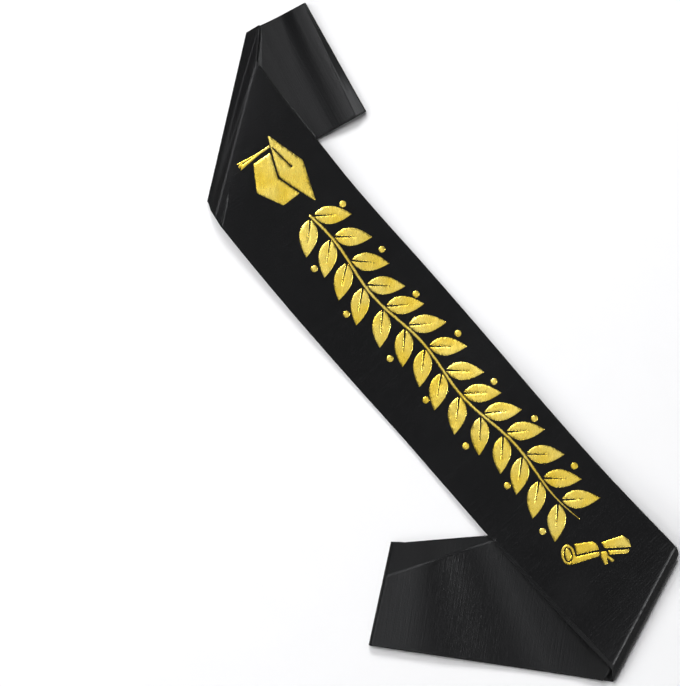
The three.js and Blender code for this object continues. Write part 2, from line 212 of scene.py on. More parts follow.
TOP_START = slid(front_ruling(0), SHOULDER_FOLD, TOP_PIECE)
TAIL_START = slid(front_ruling(FRONT_LENGTH), HIP_FOLD, TAIL)


def piece_ruling(start, fold, piece, share, narrow_from):
    run = piece["length"] - piece["end_reach"] - CAD_CLOTH / 2
    centre, _, start_length = start
    lower = centre - heading(fold["angle"]) * start_length / 2 + heading(piece["heading"]) * share * run
    angle = lerp(fold["angle"], piece["end_angle"], share)
    narrowing = clamp((share - narrow_from) / (1 - narrow_from))
    length = lerp(BAND_WIDTH, piece["end_width"], narrowing) / sine(abs(angle - piece["heading"]))
    return lower + heading(angle) * length / 2, angle, length


def top_ruling(share):
    return piece_ruling(TOP_START, SHOULDER_FOLD, TOP_PIECE, share, 0)


def upper_end(line):
    return line[0] + heading(line[1]) * line[2] / 2


LATEST_RISE = 0.9
TOP_RISE_START = min(LATEST_RISE, SHOULDER_CROSS[1] / TOP_PIECE["length"])
tail_edge = np.linalg.norm(upper_end(TAIL_START) - upper_end(piece_ruling(TAIL_START, HIP_FOLD, TAIL, 1, 0)))
TAIL_RISE_START = min(LATEST_RISE, HIP_CROSS[1] / tail_edge)


def tail_ruling(share):
    return piece_ruling(TAIL_START, HIP_FOLD, TAIL, share, TAIL_RISE_START)


def crease_place(share):
    return 1 - lerp(CREASE_START, CREASE_END, clamp((share - TAIL_RISE_START) / (1 - TAIL_RISE_START)))


# ---- the sheet's rows ----
places = np.linspace(0, 1, COLUMNS)


def skews(line, travel):
    """How far each place on the ruling lies ahead of its middle, in the direction that the band runs"""
    return (places - 0.5) * line[2] * math.cos(math.radians(line[1] - travel))


def stretch_of(lines, levels, travels):
    """A stretch of the loop: rows of x, y, z, the run along the band so far, and the skew.
    Each line is a ruling, its level a function of the place across, and its travel the band's direction."""
    rows = []
    run = 0.0
    for i, (line, level, travel) in enumerate(zip(lines, levels, travels)):
        if i:
            run += math.dist(line[0], lines[i - 1][0])
        skew = skews(line, travel)
        xy = line[0] + np.outer((places - 0.5) * line[2], heading(line[1]))
        rows.append([(x, y, level(w), run, ahead) for (x, y), w, ahead in zip(xy, places, skew)])
    return np.array(rows)


def backwards(stretch):
    turned = stretch[::-1].copy()
    turned[..., 3] = stretch[-1, 0, 3] - turned[..., 3]
    turned[..., 4] = -turned[..., 4]
    return turned


# A rolled fold seen from its end: a rope run round three pins, each (place, height, radius)
ARC_POINTS = (7, 19, 7)
BETWEEN_ARCS = (0.2, 0.4, 0.6, 0.8)


def rolled(top, bottom, start, end, ridge, turn, foot):
    """Points (outwards, up) from start at the top to end at the bottom, round the ridge, turn and foot"""
    pins = [(ridge[0], top - ridge[1], ridge[1]), turn, (foot[0], bottom + foot[1], foot[1])]
    turns = [0.0]
    for (x0, z0, r0), (x1, z1, r1) in zip(pins, pins[1:]):
        slope = math.atan2(z0 - z1, x1 - x0) % (2 * math.pi)
        turns.append(slope + math.asin((r0 - r1) / math.hypot(x1 - x0, z1 - z0)))
    turns.append(math.pi)
    points = [(lerp(start, ridge[0], share), top) for share in np.linspace(0, 1, 4)[:-1]]
    lead_count = len(points)
    for (x, z, radius), first, last, count in zip(pins, turns, turns[1:], ARC_POINTS):
        if points[lead_count:]:
            before = points[-1]
            begin = (x + radius * math.sin(first), z + radius * math.cos(first))
            points += [tuple(lerp(a, b, share) for a, b in zip(before, begin)) for share in BETWEEN_ARCS]
        points += [
            (x + radius * math.sin(a), z + radius * math.cos(a)) for a in np.linspace(first, last, count)
        ]
    points += [(lerp(foot[0], end, share), bottom) for share in np.linspace(0, 1, 4)[1:]]
    return points


SECTION_ROWS = 60


def evenly(points, count, passes=5):
    """The section's points at even steps, with its corners softened"""
    points = np.array(points)
    run = np.concatenate(([0.0], np.cumsum(np.hypot(*np.diff(points, axis=0).T))))
    at = np.linspace(0, run[-1], count)
    even = np.stack([np.interp(at, run, points[:, k]) for k in (0, 1)], axis=1)
    for _ in range(passes):
        even[1:-1] = (even[:-2] + 2 * even[1:-1] + even[2:]) / 4
    return even, at


def past_fold(line, out, outward, band):
    """The ruling's middle once the ruling has moved out over the fold, in the band's own direction"""
    normal = heading(line[1] + outward)
    return line[0] + band * out / float(band @ normal)


WHOLE_SECTION = ((0, 99), (0, 99))


def fold_rows(line_from, out_from, line_to, out_to, outward, profile, travels, slide=WHOLE_SECTION):
    """A roll between two rulings, each given with how far outwards of the fold's own line it lies.
    profile(w) is the roll's section at a place across. travels are the band's directions before and after.
    slide says where along the section it passes from one to the other, at the lower and the upper edge."""
    bands = (heading(travels[0]), -heading(travels[1]))
    skew_from, skew_to = skews(line_from, travels[0]), skews(line_to, travels[1])
    rows = np.zeros((SECTION_ROWS, COLUMNS, 5))
    slant = abs(sine(line_from[1] - travels[0]))
    for j, w in enumerate(places):
        section, at = evenly(profile(w), SECTION_ROWS)
        first, last = lerp(slide[0][0], slide[1][0], w), lerp(slide[0][1], slide[1][1], w)
        last = min(last, at[-1])
        for i, (out, up) in enumerate(section):
            share = smooth((at[i] - first) / (last - first))
            middle_from = past_fold(line_from, out - out_from, outward, bands[0])
            middle_to = past_fold(line_to, out - out_to, outward, bands[1])
            before = middle_from + (w - 0.5) * line_from[2] * heading(line_from[1])
            after = middle_to + (w - 0.5) * line_to[2] * heading(line_to[1])
            x, y = lerp(before, after, share)
            rows[i, j] = (x, y, up, at[i] / slant, lerp(skew_from[j], skew_to[j], share))
    rows[..., 3] = rows[..., 3].mean(axis=1, keepdims=True)
    return rows


def last_share(piece):
    return 1 - LEAD / (piece["length"] - piece["end_reach"])


def near_rise(piece, rise_start, share):
    rise = smooth((share - rise_start) / (last_share(piece) - rise_start))
    return lerp(NEAR_LEVEL, FAR_LEVEL + CAD_CLOTH + piece["end_clear"], rise) + TOP_SHIFT


# Where across the band the near layer's rise passes from the lower edge's height to the upper edge's
UPPER_FROM, UPPER_OVER = 0.66, 0.3


def inner_rise(w, distance, heights, reach):
    """How far the near layer curves up towards the inner roll that it comes from"""
    height = lerp(heights[0], heights[1], smooth((w - UPPER_FROM) / UPPER_OVER))
    return height * clamp(1 - distance / reach) ** 2


# The tail's relief: level up to its flat end, falling to a valley that leans, then rising again
TAIL_FLAT_END = at_pixel(418, 610)[0]
TAIL_VALLEY = at_pixel(497, 575)
VALLEY_LEAN = -0.55
END_HEIGHT = 2.3
VALLEY_LEFT, VALLEY_RIGHT = 8, 12
HIP_HEIGHT, HIP_RISE_LENGTH = 0.9, 45


def tail_relief(x, y):
    """The near layer stands up over its far end, dips along a slanting valley and rises again to the hip"""
    valley = TAIL_VALLEY[0] + VALLEY_LEAN * (y - TAIL_VALLEY[1])
    left = valley - VALLEY_LEFT
    if x < left:
        return END_HEIGHT * smooth((left - x) / (left - TAIL_FLAT_END))
    return HIP_HEIGHT * smooth((x - valley - VALLEY_RIGHT) / HIP_RISE_LENGTH)


def tail_level(share, w):
    crease = crease_place(share)
    grown = smooth((share - TAIL_RISE_START) / (1 - TAIL_RISE_START))
    centre, angle, length = tail_ruling(share)
    x, y = centre + (w - 0.5) * length * heading(angle)
    level = NEAR_LEVEL + TOP_SHIFT + tail_relief(x, y)
    if w > crease:
        level -= CREASE_DROP * grown * (w - crease) / (1 - crease)
    return level + inner_rise(w, share * TAIL["length"], HIP_INNER["rise"], HIP_INNER["reach"])


def top_level(share, w):
    rise = inner_rise(w, share * TOP_PIECE["length"], SHOULDER_INNER["rise"], SHOULDER_INNER["reach"])
    return near_rise(TOP_PIECE, TOP_RISE_START, share) + rise


def shares(length, step):
    return np.linspace(0, 1, max(2, int(length / step) + 1))


# The radii of a fold's ridge and of its outermost turn
SHOULDER_ROUND = (2.6, 1.2)
HIP_ROUND = (4.4, 2.2)
# How far inside a fold's outline its ridge lies, at the band's lower and upper edge
SHOULDER_RIDGE = (9.6, 13.0)
HIP_RIDGE = (7.6, 6.6)
TOP_END_RIDGE = (9.0, 3.6)
TAIL_END_RIDGE = (2.4, 2.4)
# The near layer's rise, at the lower and the upper edge, to its roll behind the ridge
SHOULDER_INNER = {"rise": (2.4, 4.2), "reach": 16.0}
HIP_INNER = {"rise": (2.6, 2.6), "reach": 26.0}
# Where along the outer roll the band changes from the front panel's direction to the other piece's
SHOULDER_SLIDE = ((10.0, 22.0), (2.0, 6.5))
HIP_SLIDE = ((7.0, 18.0), (9.0, 26.0))
INNER_BEHIND = 0.8
PIN_CLEAR = 0.2
# How far before a fold's line its rows begin
LEAD = 6.0
SAME_PLACE = 0.1


def outer_fold(reach, ridge_inset, radii, top, bottom):
    def profile(w):
        ridge = reach - lerp(*ridge_inset, w)
        turn = (reach - radii[1], bottom + radii[1] + PIN_CLEAR, radii[1])
        foot = (reach - radii[1] - PIN_CLEAR, radii[1] - PIN_CLEAR)
        return rolled(top, bottom, -LEAD, 0, (ridge, radii[0]), turn, foot)
    return profile


def inner_fold(reach, ridge_inset, top, low_at):
    """The inner roll turns back close behind the ridge"""
    def profile(w):
        ridge = reach - lerp(*ridge_inset, w) + INNER_BEHIND
        low = low_at(w)
        radius = (top - low) / 2
        angles = np.linspace(0, math.pi, 15)
        arc = [(ridge + radius * math.sin(a), low + radius + radius * math.cos(a)) for a in angles]
        start = [(x, top) for x in np.linspace(-LEAD, ridge, 6)[:-1]]
        return start + arc + [(x, low) for x in np.linspace(ridge, 0, 4)[1:]]
    return profile


# An end's turn and the rounding of its ridge: as shares of its height, and at most
END_TURN = (0.3, 1.2)
END_ROUND = (0.4, 2.4)
END_FOOT = 0.5


def end_fold(reach, ridge_inset, top_at):
    def profile(w):
        top = top_at(w)
        height = top - FLOOR_LEVEL
        radius = min(END_TURN[0] * height, END_TURN[1])
        ridge = reach - lerp(*ridge_inset, w)
        pin = (reach - radius, FLOOR_LEVEL + radius + PIN_CLEAR, radius)
        round_off = min(END_ROUND[0] * height, END_ROUND[1])
        foot = (reach - radius - END_FOOT, radius)
        return rolled(top, FLOOR_LEVEL, -LEAD, 0, (ridge, round_off), pin, foot)
    return profile


RELIEF_FROM, RELIEF_OVER = 30, 60
# Waves of the front panel: their length along and across, their place in the noise and their height
SLOW_WAVES = (85, 150, 3.7, 0.32)
QUICK_WAVES = (38, 60, 8.1, 0.10)


def noise_waves(along, across, waves):
    long, wide, place, height = waves
    return height * noise.noise(Vector((along / long, across / wide, place)))


def front_relief(along, across):
    """How much the front panel stands above or below its plain level: slow waves, less near the folds"""
    inside = smooth((along - RELIEF_FROM) / RELIEF_OVER)
    inside *= smooth((FRONT_LENGTH - RELIEF_FROM - along) / RELIEF_OVER)
    return inside * (noise_waves(along, across, SLOW_WAVES) + noise_waves(along, across, QUICK_WAVES))


def band_place(along, w):
    """Along and across the band, for a place on the ruling that meets the middle line at along"""
    across = (w - 0.5) * BAND_WIDTH
    slant = lerp(SHOULDER_FOLD["angle"], HIP_FOLD["angle"], along / FRONT_LENGTH) - front_heading(along)
    return along + across / math.tan(math.radians(slant)), across


def front_rows(level_at):
    first, last = lead_along(SHOULDER_FOLD), FRONT_LENGTH - lead_along(HIP_FOLD)
    alongs = lerp(first, last, shares(FRONT_LENGTH, ROW_STEP))
    levels = [
        lambda w, along=along: level_at(along) + TOP_SHIFT + front_relief(*band_place(along, w))
        for along in alongs
    ]
    return stretch_of(list(map(fitted_ruling, alongs)), levels, [front_heading(along) for along in alongs])


def near_rows(piece, ruling_at, level_at, travel):
    """The near layer of the top piece or the tail, from its fold to where its end turns down"""
    steps = last_share(piece) * shares(piece["length"], ROW_STEP)
    levels = [lambda w, s=s: level_at(s, w) for s in steps]
    return stretch_of(list(map(ruling_at, steps)), levels, [travel] * len(steps))


def far_rows(piece, ruling_at, travel):
    steps = shares(piece["length"], ROW_STEP)
    levels = [lambda w: FLOOR_LEVEL] * len(steps)
    return stretch_of(list(map(ruling_at, steps)), levels, [travel] * len(steps))


def end_rows(piece, ridge_inset, ruling_at, level_at, outward):
    last = last_share(piece)
    profile = end_fold(piece["end_reach"], ridge_inset, lambda w: level_at(last, w))
    travels = (piece["heading"], piece["heading"] + 180)
    return fold_rows(ruling_at(last), -LEAD, ruling_at(1), 0, outward, profile, travels)


def side_rows(fold, ridge_inset, start_along, piece, piece_start, outward, slide, near_level=None):
    """The outer roll at the shoulder or the hip, or with near_level the inner one, which ends in the near
    layer. Both are made from the front panel towards the piece."""
    at_fold = abs(start_along - lead_along(fold))
    top = (back_level if near_level else front_level)(at_fold) + TOP_SHIFT
    if near_level:
        profile = inner_fold(fold["reach"], ridge_inset, top, lambda w: near_level(0, w))
    else:
        radii = HIP_ROUND if fold is HIP_FOLD else SHOULDER_ROUND
        profile = outer_fold(fold["reach"], ridge_inset, radii, top, FLOOR_LEVEL)
    travels = (front_heading(start_along) + (0 if start_along else 180), piece["heading"])
    return fold_rows(fitted_ruling(at_fold), -LEAD, piece_start, 0, outward, profile, travels, slide)


def lead_along(fold):
    return LEAD / abs(sine(fold["angle"] - front_heading(FRONT_LENGTH if fold is HIP_FOLD else 0)))


def loop_rows():
    hip = (HIP_FOLD, HIP_RIDGE, FRONT_LENGTH, TAIL, tail_ruling(0), -90, HIP_SLIDE)
    shoulder = (SHOULDER_FOLD, SHOULDER_RIDGE, 0, TOP_PIECE, top_ruling(0), 90, SHOULDER_SLIDE)
    # Going round the loop: a stretch that is made against the loop's direction is turned round
    stretches = [
        front_rows(front_level),
        side_rows(*hip),
        far_rows(TAIL, tail_ruling, TAIL["heading"]),
        backwards(end_rows(TAIL, TAIL_END_RIDGE, tail_ruling, tail_level, 90)),
        backwards(near_rows(TAIL, tail_ruling, tail_level, TAIL["heading"])),
        backwards(side_rows(*hip, tail_level)),
        backwards(front_rows(back_level)),
        side_rows(*shoulder, top_level),
        near_rows(TOP_PIECE, top_ruling, top_level, TOP_PIECE["heading"]),
        end_rows(TOP_PIECE, TOP_END_RIDGE, top_ruling, top_level, -90),
        backwards(far_rows(TOP_PIECE, top_ruling, TOP_PIECE["heading"])),
        backwards(side_rows(*shoulder)),
    ]
    rows = []
    run = 0.0
    for stretch in stretches:
        for row in stretch:
            row = row.copy()
            row[:, 3] += run
            if not rows or np.linalg.norm(row[COLUMNS // 2, :3] - rows[-1][COLUMNS // 2, :3]) > SAME_PLACE:
                rows.append(row)
        run += stretch[-1, 0, 3]
    return np.array(rows), run


# ---- meshes ----
def new_object(name, vertices, faces, material):
    mesh = bpy.data.meshes.new(name)
    mesh.from_pydata([tuple(v) for v in vertices], [], faces)
    mesh.validate()
    mesh.update()
    mesh.materials.append(material)
    made = bpy.data.objects.new(name, mesh)
    bpy.context.collection.objects.link(made)
    for polygon in mesh.polygons:
        polygon.use_smooth = True
    return made


def cloth_loop(name, rows, loop_length, thickness, material):
    """Cloth of even thickness round the rows' middle surface, with a map of its flat width and length"""
    middle = rows[..., :3]
    count = len(rows)
    along = np.roll(middle, -1, axis=0) - np.roll(middle, 1, axis=0)
    across = np.gradient(middle, axis=1)
    normal = np.cross(along, across)
    normal /= np.linalg.norm(normal, axis=2, keepdims=True)
    outside = middle + normal * thickness / 2
    inside = middle - normal * thickness / 2
    vertices = np.concatenate((outside.reshape(-1, 3), inside.reshape(-1, 3))) * MM
    faces = []
    shift = count * COLUMNS
    for i in range(count):
        n = (i + 1) % count
        for j in range(COLUMNS - 1):
            a, b, c, d = i * COLUMNS + j, n * COLUMNS + j, n * COLUMNS + j + 1, i * COLUMNS + j + 1
            faces.append((a, b, c, d))
            faces.append((a + shift, d + shift, c + shift, b + shift))
        a, b = i * COLUMNS, n * COLUMNS
        faces.append((a, a + shift, b + shift, b))
        a, b = i * COLUMNS + COLUMNS - 1, n * COLUMNS + COLUMNS - 1
        faces.append((a, b, b + shift, a + shift))
    made = new_object(name, vertices, faces, material)
    cut = (rows[..., 3] + rows[..., 4]) * MM
    width = places * BAND_WIDTH * MM
    uv = made.data.uv_layers.new(name="cut")
    for polygon in made.data.polygons:
        cells = [made.data.loops[k].vertex_index % shift for k in polygon.loop_indices]
        wraps = max(cells) // COLUMNS - min(cells) // COLUMNS > 1
        for k, cell in zip(polygon.loop_indices, cells):
            row, column = divmod(cell, COLUMNS)
            turn = loop_length * MM if wraps and row == 0 else 0.0
            uv.data[k].uv = (width[column], cut[row, column] + turn)
    return made


# ---- materials ----
class Nodes:
    """Makes a material's nodes in few words"""

    def __init__(self, name):
        self.material = bpy.data.materials.new(name)
        self.material.use_nodes = True
        self.tree = self.material.node_tree
        self.shader = self.tree.nodes["Principled BSDF"]

    def add(self, kind, inputs=None, **settings):
        node = self.tree.nodes.new("ShaderNode" + kind)
        for key, value in settings.items():
            setattr(node, key, value)
        for key, value in (inputs or {}).items():
            self.put(node.inputs[key], value)
        return node

    def put(self, socket, value):
        if isinstance(value, bpy.types.NodeSocket):
            self.tree.links.new(value, socket)
        else:
            socket.default_value = value

    def maths(self, operation, a, b=0.0):
        return self.add("Math", {0: a, 1: b}, operation=operation).outputs[0]

    def times(self, a, b):
        return self.maths("MULTIPLY", a, b)

    def plus(self, a, b):
        return self.maths("ADD", a, b)

    def minus(self, a, b):
        return self.maths("SUBTRACT", a, b)

    def mix(self, share, a, b):
        node = self.add("Mix", data_type="RGBA")
        for key, value in ((0, share), (6, a), (7, b)):
            self.put(node.inputs[key], value)
        return node.outputs[2]

    def spread(self, value, low, high, to_low, to_high):
        node = self.add("MapRange", {0: value, 1: low, 2: high, 3: to_low, 4: to_high})
        return node.outputs[0]

    def fading(self, value, low, high):
        """One up to low, and from there smoothly down to nothing at high"""
        inputs = {0: value, 1: low, 2: high, 3: 1.0, 4: 0.0}
        return self.add("MapRange", inputs, interpolation_type="SMOOTHSTEP").outputs[0]

    def noise(self, place, scale, detail=2.0, roughness=0.5):
        inputs = {"Vector": place, "Scale": scale, "Detail": detail, "Roughness": roughness}
        return self.add("TexNoise", inputs).outputs["Fac"]

    def stretched(self, place, scale):
        return self.add("Mapping", {"Vector": place, "Scale": scale}).outputs[0]

    def bump(self, height, distance, strength=1.0, normal=None):
        inputs = {"Height": height, "Distance": distance, "Strength": strength}
        if normal is not None:
            inputs["Normal"] = normal
        return self.add("Bump", inputs).outputs[0]


# The crease over the tail's far end: its line, its lip, and the dull cloth above it up to the tail's corner
CREASE_LINE = (at_pixel(382, 578), at_pixel(494, 541))
CREASE_LIP, CREASE_DULL = (-0.4, 1.8), (0.8, 2.0)
DULL_CORNER = at_pixel(496, 537)
ABOVE_FAR_LAYER = 1.6
SHEEN_PATCH = {"middle": (*at_pixel(572, 594), 7.8), "radius": 24.0, "core": 0.1}
# Slow waves of the tail and the top piece: the lines where the cloth is level, and how steep it gets
TAIL_WAVE = {
    "first": (at_pixel(412, 575), at_pixel(402, 650)), "second": (at_pixel(504, 576), at_pixel(545, 662)),
    "slope": 0.15,
}
TOP_WAVE = {
    "level": (at_pixel(285, 40), at_pixel(317, 112)), "period": 20.9, "slope": 0.07, "lean": 0.0175,
}
TOP_QUIET = (17.0, 23.0, 0.55)
# The front panel's edge over the tail, and its edge over the top piece
TAIL_COVERED = (at_pixel(497, 541), at_pixel(612, 664))
TOP_COVERED = (at_pixel(262, 70), at_pixel(318, 138))
COVER_MARGIN = 0.3
# Painted shade on steep cloth, from these heights of the normal, and on the tail's right end, between these
# places across it
STEEP_FROM, STEEP_TO = 0.93, 0.88
PAINTED_SHADE_FROM, PAINTED_SHADE_TO = at_pixel(572, 0)[0], at_pixel(596, 0)[0]
# The satin's two base colours, mixed at random, and the darker colour of its painted shade
SATIN_COLOURS = ((0.0023, 0.0023, 0.0027, 1), (0.0034, 0.0034, 0.0039, 1))
SATIN_PAINTED_SHADE = (0.0008, 0.0008, 0.0009, 1)
# The satin's least roughness and what each thing adds at most, and its bumps' heights in metres
ROUGH = {"least": 0.29, "grain": 0.16, "ribs": 0.12, "patches": 0.06, "dull": 0.32}
PATCH_DULL = 0.35
BUMP = {"lip": 0.0006, "waves": 0.001, "grain": 0.00011, "ribs": 0.00015}
WEAVE_STRENGTH = 0.8


def satin_material():
    nodes = Nodes("black_satin")
    cut = nodes.add("UVMap", uv_map="cut").outputs[0]
    place = nodes.add("TexCoord").outputs["Object"]
    x, y, z = nodes.add("SeparateXYZ", {0: place}).outputs
    shader = nodes.shader.inputs
    ribs = nodes.noise(nodes.stretched(cut, (14, 760, 1)), 1.0, 3.0, 0.6)
    grain = nodes.noise(nodes.stretched(cut, (520, 900, 1)), 1.0, 2.0, 0.7)
    patches = nodes.noise(nodes.stretched(cut, (18, 14, 1)), 1.0, 3.0, 0.5)

    def ahead(normal, start):
        """How far a place lies ahead of the line through start, in millimetres, the way the normal points"""
        reached = nodes.plus(nodes.times(x, float(normal[0]) / MM), nodes.times(y, float(normal[1]) / MM))
        return nodes.minus(reached, float(normal @ start))

    def beyond(line):
        """How far a place lies past a line, in millimetres, going to the right"""
        (x0, y0), (x1, y1) = line
        return ahead(np.array((y1 - y0, x0 - x1)) * (1 if y1 > y0 else -1) / math.dist(*line), line[0])

    # The crease, and the dull cloth above it
    start, end = CREASE_LINE
    over = ahead(np.array((start[1] - end[1], end[0] - start[0])) / math.dist(start, end), start)
    below_corner = nodes.maths("LESS_THAN", y, DULL_CORNER[1] * MM)
    on_tail = nodes.times(nodes.maths("LESS_THAN", x, DULL_CORNER[0] * MM), below_corner)
    on_tail = nodes.times(on_tail, nodes.maths("GREATER_THAN", z, ABOVE_FAR_LAYER * MM))
    lip = nodes.times(nodes.fading(over, *CREASE_LIP), on_tail)
    dull = nodes.times(nodes.spread(over, *CREASE_DULL, 0, 1), on_tail)
    middle = [c * MM for c in SHEEN_PATCH["middle"]]
    away = nodes.add("VectorMath", {0: place, 1: middle}, operation="DISTANCE").outputs["Value"]
    radius = SHEEN_PATCH["radius"] * MM
    patch = nodes.fading(away, SHEEN_PATCH["core"] * radius, radius)

    # The tail's wave goes down from the first line to the second, and on past it
    past_first, past_second = beyond(TAIL_WAVE["first"]), beyond(TAIL_WAVE["second"])
    gap = nodes.minus(past_first, past_second)
    phase = nodes.times(nodes.maths("MAXIMUM", nodes.maths("DIVIDE", past_first, gap), 0.0), math.pi)
    cosine = nodes.maths("COSINE", phase)
    further = nodes.times(nodes.maths("GREATER_THAN", phase, math.pi), nodes.plus(cosine, 1.0))
    descent = nodes.minus(cosine, nodes.times(further, 2.0))
    tail_wave = nodes.times(descent, nodes.times(gap, TAIL_WAVE["slope"] / math.pi))
    tail_only = nodes.times(below_corner, nodes.maths("LESS_THAN", beyond(TAIL_COVERED), COVER_MARGIN))

    # The top piece's wave
    past_level = beyond(TOP_WAVE["level"])
    rate = 2 * math.pi / TOP_WAVE["period"]
    sine_wave = nodes.maths("SINE", nodes.times(past_level, rate))
    lean = nodes.times(past_level, TOP_WAVE["lean"])
    top_wave = nodes.minus(lean, nodes.times(sine_wave, TOP_WAVE["slope"] / rate))
    top_only = nodes.maths("GREATER_THAN", x, TOP_COVERED[0][0] * MM)
    top_only = nodes.times(top_only, nodes.maths("GREATER_THAN", beyond(TOP_COVERED), -COVER_MARGIN))
    top_only = nodes.times(top_only, nodes.maths("GREATER_THAN", y, TOP_COVERED[1][1] * MM))
    waves = nodes.plus(nodes.times(tail_wave, tail_only), nodes.times(top_wave, top_only))

    # Painted shade, a darker base colour, on the tail's right end under the front panel's raised edge at the
    # hip and on steep cloth at the folds; these and part of the top piece are also made rougher
    painted_shade = nodes.times(nodes.spread(x, PAINTED_SHADE_FROM * MM, PAINTED_SHADE_TO * MM, 0, 1), tail_only)
    quiet = nodes.times(nodes.spread(past_level, *TOP_QUIET, 0), top_only)
    upright = nodes.add("SeparateXYZ", {0: nodes.add("NewGeometry").outputs["Normal"]}).outputs[2]
    painted_shade = nodes.maths("MAXIMUM", painted_shade, nodes.spread(upright, STEEP_TO, STEEP_FROM, 1, 0))
    quiet = nodes.maths("MAXIMUM", quiet, nodes.times(patch, PATCH_DULL))
    dullest = nodes.maths("MAXIMUM", nodes.maths("MAXIMUM", dull, painted_shade), quiet)

    uneven = nodes.plus(nodes.times(grain, ROUGH["grain"]), nodes.times(ribs, ROUGH["ribs"]))
    rough = nodes.plus(uneven, nodes.times(patches, ROUGH["patches"]))
    rough = nodes.plus(rough, nodes.times(dullest, ROUGH["dull"]))
    nodes.put(shader["Roughness"], nodes.plus(rough, ROUGH["least"]))
    colour = nodes.mix(patches, *SATIN_COLOURS)
    # The base colour: the satin's random tone, darkened to the painted shade where the cloth is steep or
    # under the front panel's edge
    nodes.put(shader["Base Color"], nodes.mix(painted_shade, colour, SATIN_PAINTED_SHADE))
    shader["Specular IOR Level"].default_value = 0.5
    shader["Anisotropic"].default_value = 0.9
    tangent = nodes.add("Tangent", direction_type="UV_MAP", uv_map="cut").outputs[0]
    nodes.put(shader["Tangent"], tangent)
    crease = nodes.bump(lip, BUMP["lip"], normal=nodes.bump(waves, BUMP["waves"]))
    weave = nodes.bump(grain, BUMP["grain"], WEAVE_STRENGTH, crease)
    nodes.put(shader["Normal"], nodes.bump(ribs, BUMP["ribs"], WEAVE_STRENGTH, weave))
    return nodes.material


def foil_material():
    nodes = Nodes("gold_foil")
    place = nodes.add("TexCoord").outputs["Object"]
    shader = nodes.shader.inputs
    clouds = nodes.noise(place, 45.0, 3.0, 0.6)
    streaks = nodes.noise(nodes.stretched(place, (420, 90, 1)), 1.0, 3.0, 0.6)
    colour = nodes.mix(nodes.spread(clouds, 0.35, 0.65, 0, 1), (0.90, 0.64, 0.07, 1), (0.97, 0.76, 0.17, 1))
    # Brown along the streaks: painted dark reflections in the foil's crinkles, which the same streaks also
    # make rougher and bumpy
    colour = nodes.mix(nodes.spread(streaks, 0.55, 0.75, 0, 0.5), colour, (0.62, 0.42, 0.05, 1))
    nodes.put(shader["Base Color"], colour)
    shader["Metallic"].default_value = 1.0
    nodes.put(shader["Roughness"], nodes.spread(streaks, 0.3, 0.7, 0.2, 0.34))
    waves = nodes.bump(clouds, 0.0012, 0.5)
    nodes.put(shader["Normal"], nodes.bump(streaks, 0.00005, 0.6, waves))
    return nodes.material


def floor_material():
    nodes = Nodes("white_table")
    shader = nodes.shader.inputs
    place = nodes.add("TexCoord").outputs["Object"]
    colour = nodes.mix(nodes.noise(place, 30.0, 3.0), (0.80, 0.80, 0.81, 1), (0.82, 0.82, 0.83, 1))
    nodes.put(shader["Base Color"], colour)
    shader["Roughness"].default_value = 0.9
    shader["Specular IOR Level"].default_value = 0.1
    return nodes.material


satin = satin_material()
foil = foil_material()

band_rows, loop_length = loop_rows()
band = cloth_loop("satin_band", band_rows, loop_length, CLOTH, satin)
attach(band, "root")
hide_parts("ribbon_band")

# ---- the foil: pieces cut to shapes drawn along (x) and across (y) the front panel ----
FOIL = 0.12
FOIL_EDGE = 0.03
FOIL_RIM = 0.28
FOIL_CLEAR = 0.01
# Points of a foil piece: the step along its edge, the grid inside, and how far both rim and grid keep clear
FOIL_STEP, FOIL_GRID, GRID_ROW = 0.8, 1.7, 0.87
RIM_CLEAR, GRID_CLEAR = 0.55, 0.6
TOO_NEAR = 0.02
SHARPEST_CORNER = 0.35
CURVE_STEPS = 12


def on_front(along, across, above):
    ruling_along = along
    for _ in range(4):
        slant = front_ruling(ruling_along)[1] - front_heading(ruling_along)
        ruling_along = along - across / math.tan(math.radians(slant))
    x, y = front_centre(along) + across * heading(front_heading(along) + 90)
    return x, y, front_level(ruling_along) + CAD_CLOTH / 2 + front_relief(along, across) + above


def quadratic(a, control, b, steps=CURVE_STEPS):
    return [
        tuple((1 - t) ** 2 * p + 2 * t * (1 - t) * q + t * t * r for p, q, r in zip(a, control, b))
        for t in np.linspace(0, 1, steps + 1)
    ]


def rounded(corners, radius, steps=4):
    points = []
    for before, corner, after in zip(corners[-1:] + corners[:-1], corners, corners[1:] + corners[:1]):
        ends = [
            tuple(lerp(c, o, min(0.45, radius / math.dist(corner, other))) for c, o in zip(corner, other))
            for other in (before, after)
        ]
        points += quadratic(ends[0], corner, ends[1], steps)
    return points


def placed(corners, along, across, turn):
    c, s = heading(turn)
    return [(along + u * c - v * s, across + u * s + v * c) for u, v in corners]


def ellipse(middle, half_wide, half_high, turn, start=0.0, end=360.0, steps=30):
    angles = [math.radians(a) for a in np.linspace(start, end, steps + 1)]
    if abs(end - start) == 360:
        angles.pop()
    return placed([(half_wide * math.cos(a), half_high * math.sin(a)) for a in angles], *middle, turn)


def resampled(loop, step):
    points = []
    for a, b in zip(loop, loop[1:] + loop[:1]):
        count = max(1, round(math.dist(a, b) / step))
        points += [(lerp(a[0], b[0], i / count), lerp(a[1], b[1], i / count)) for i in range(count)]
    return [q for q, before in zip(points, points[-1:] + points[:-1]) if math.dist(q, before) > TOO_NEAR]


def signed_area(loop):
    return sum(a[0] * b[1] - b[0] * a[1] for a, b in zip(loop, loop[1:] + loop[:1])) / 2


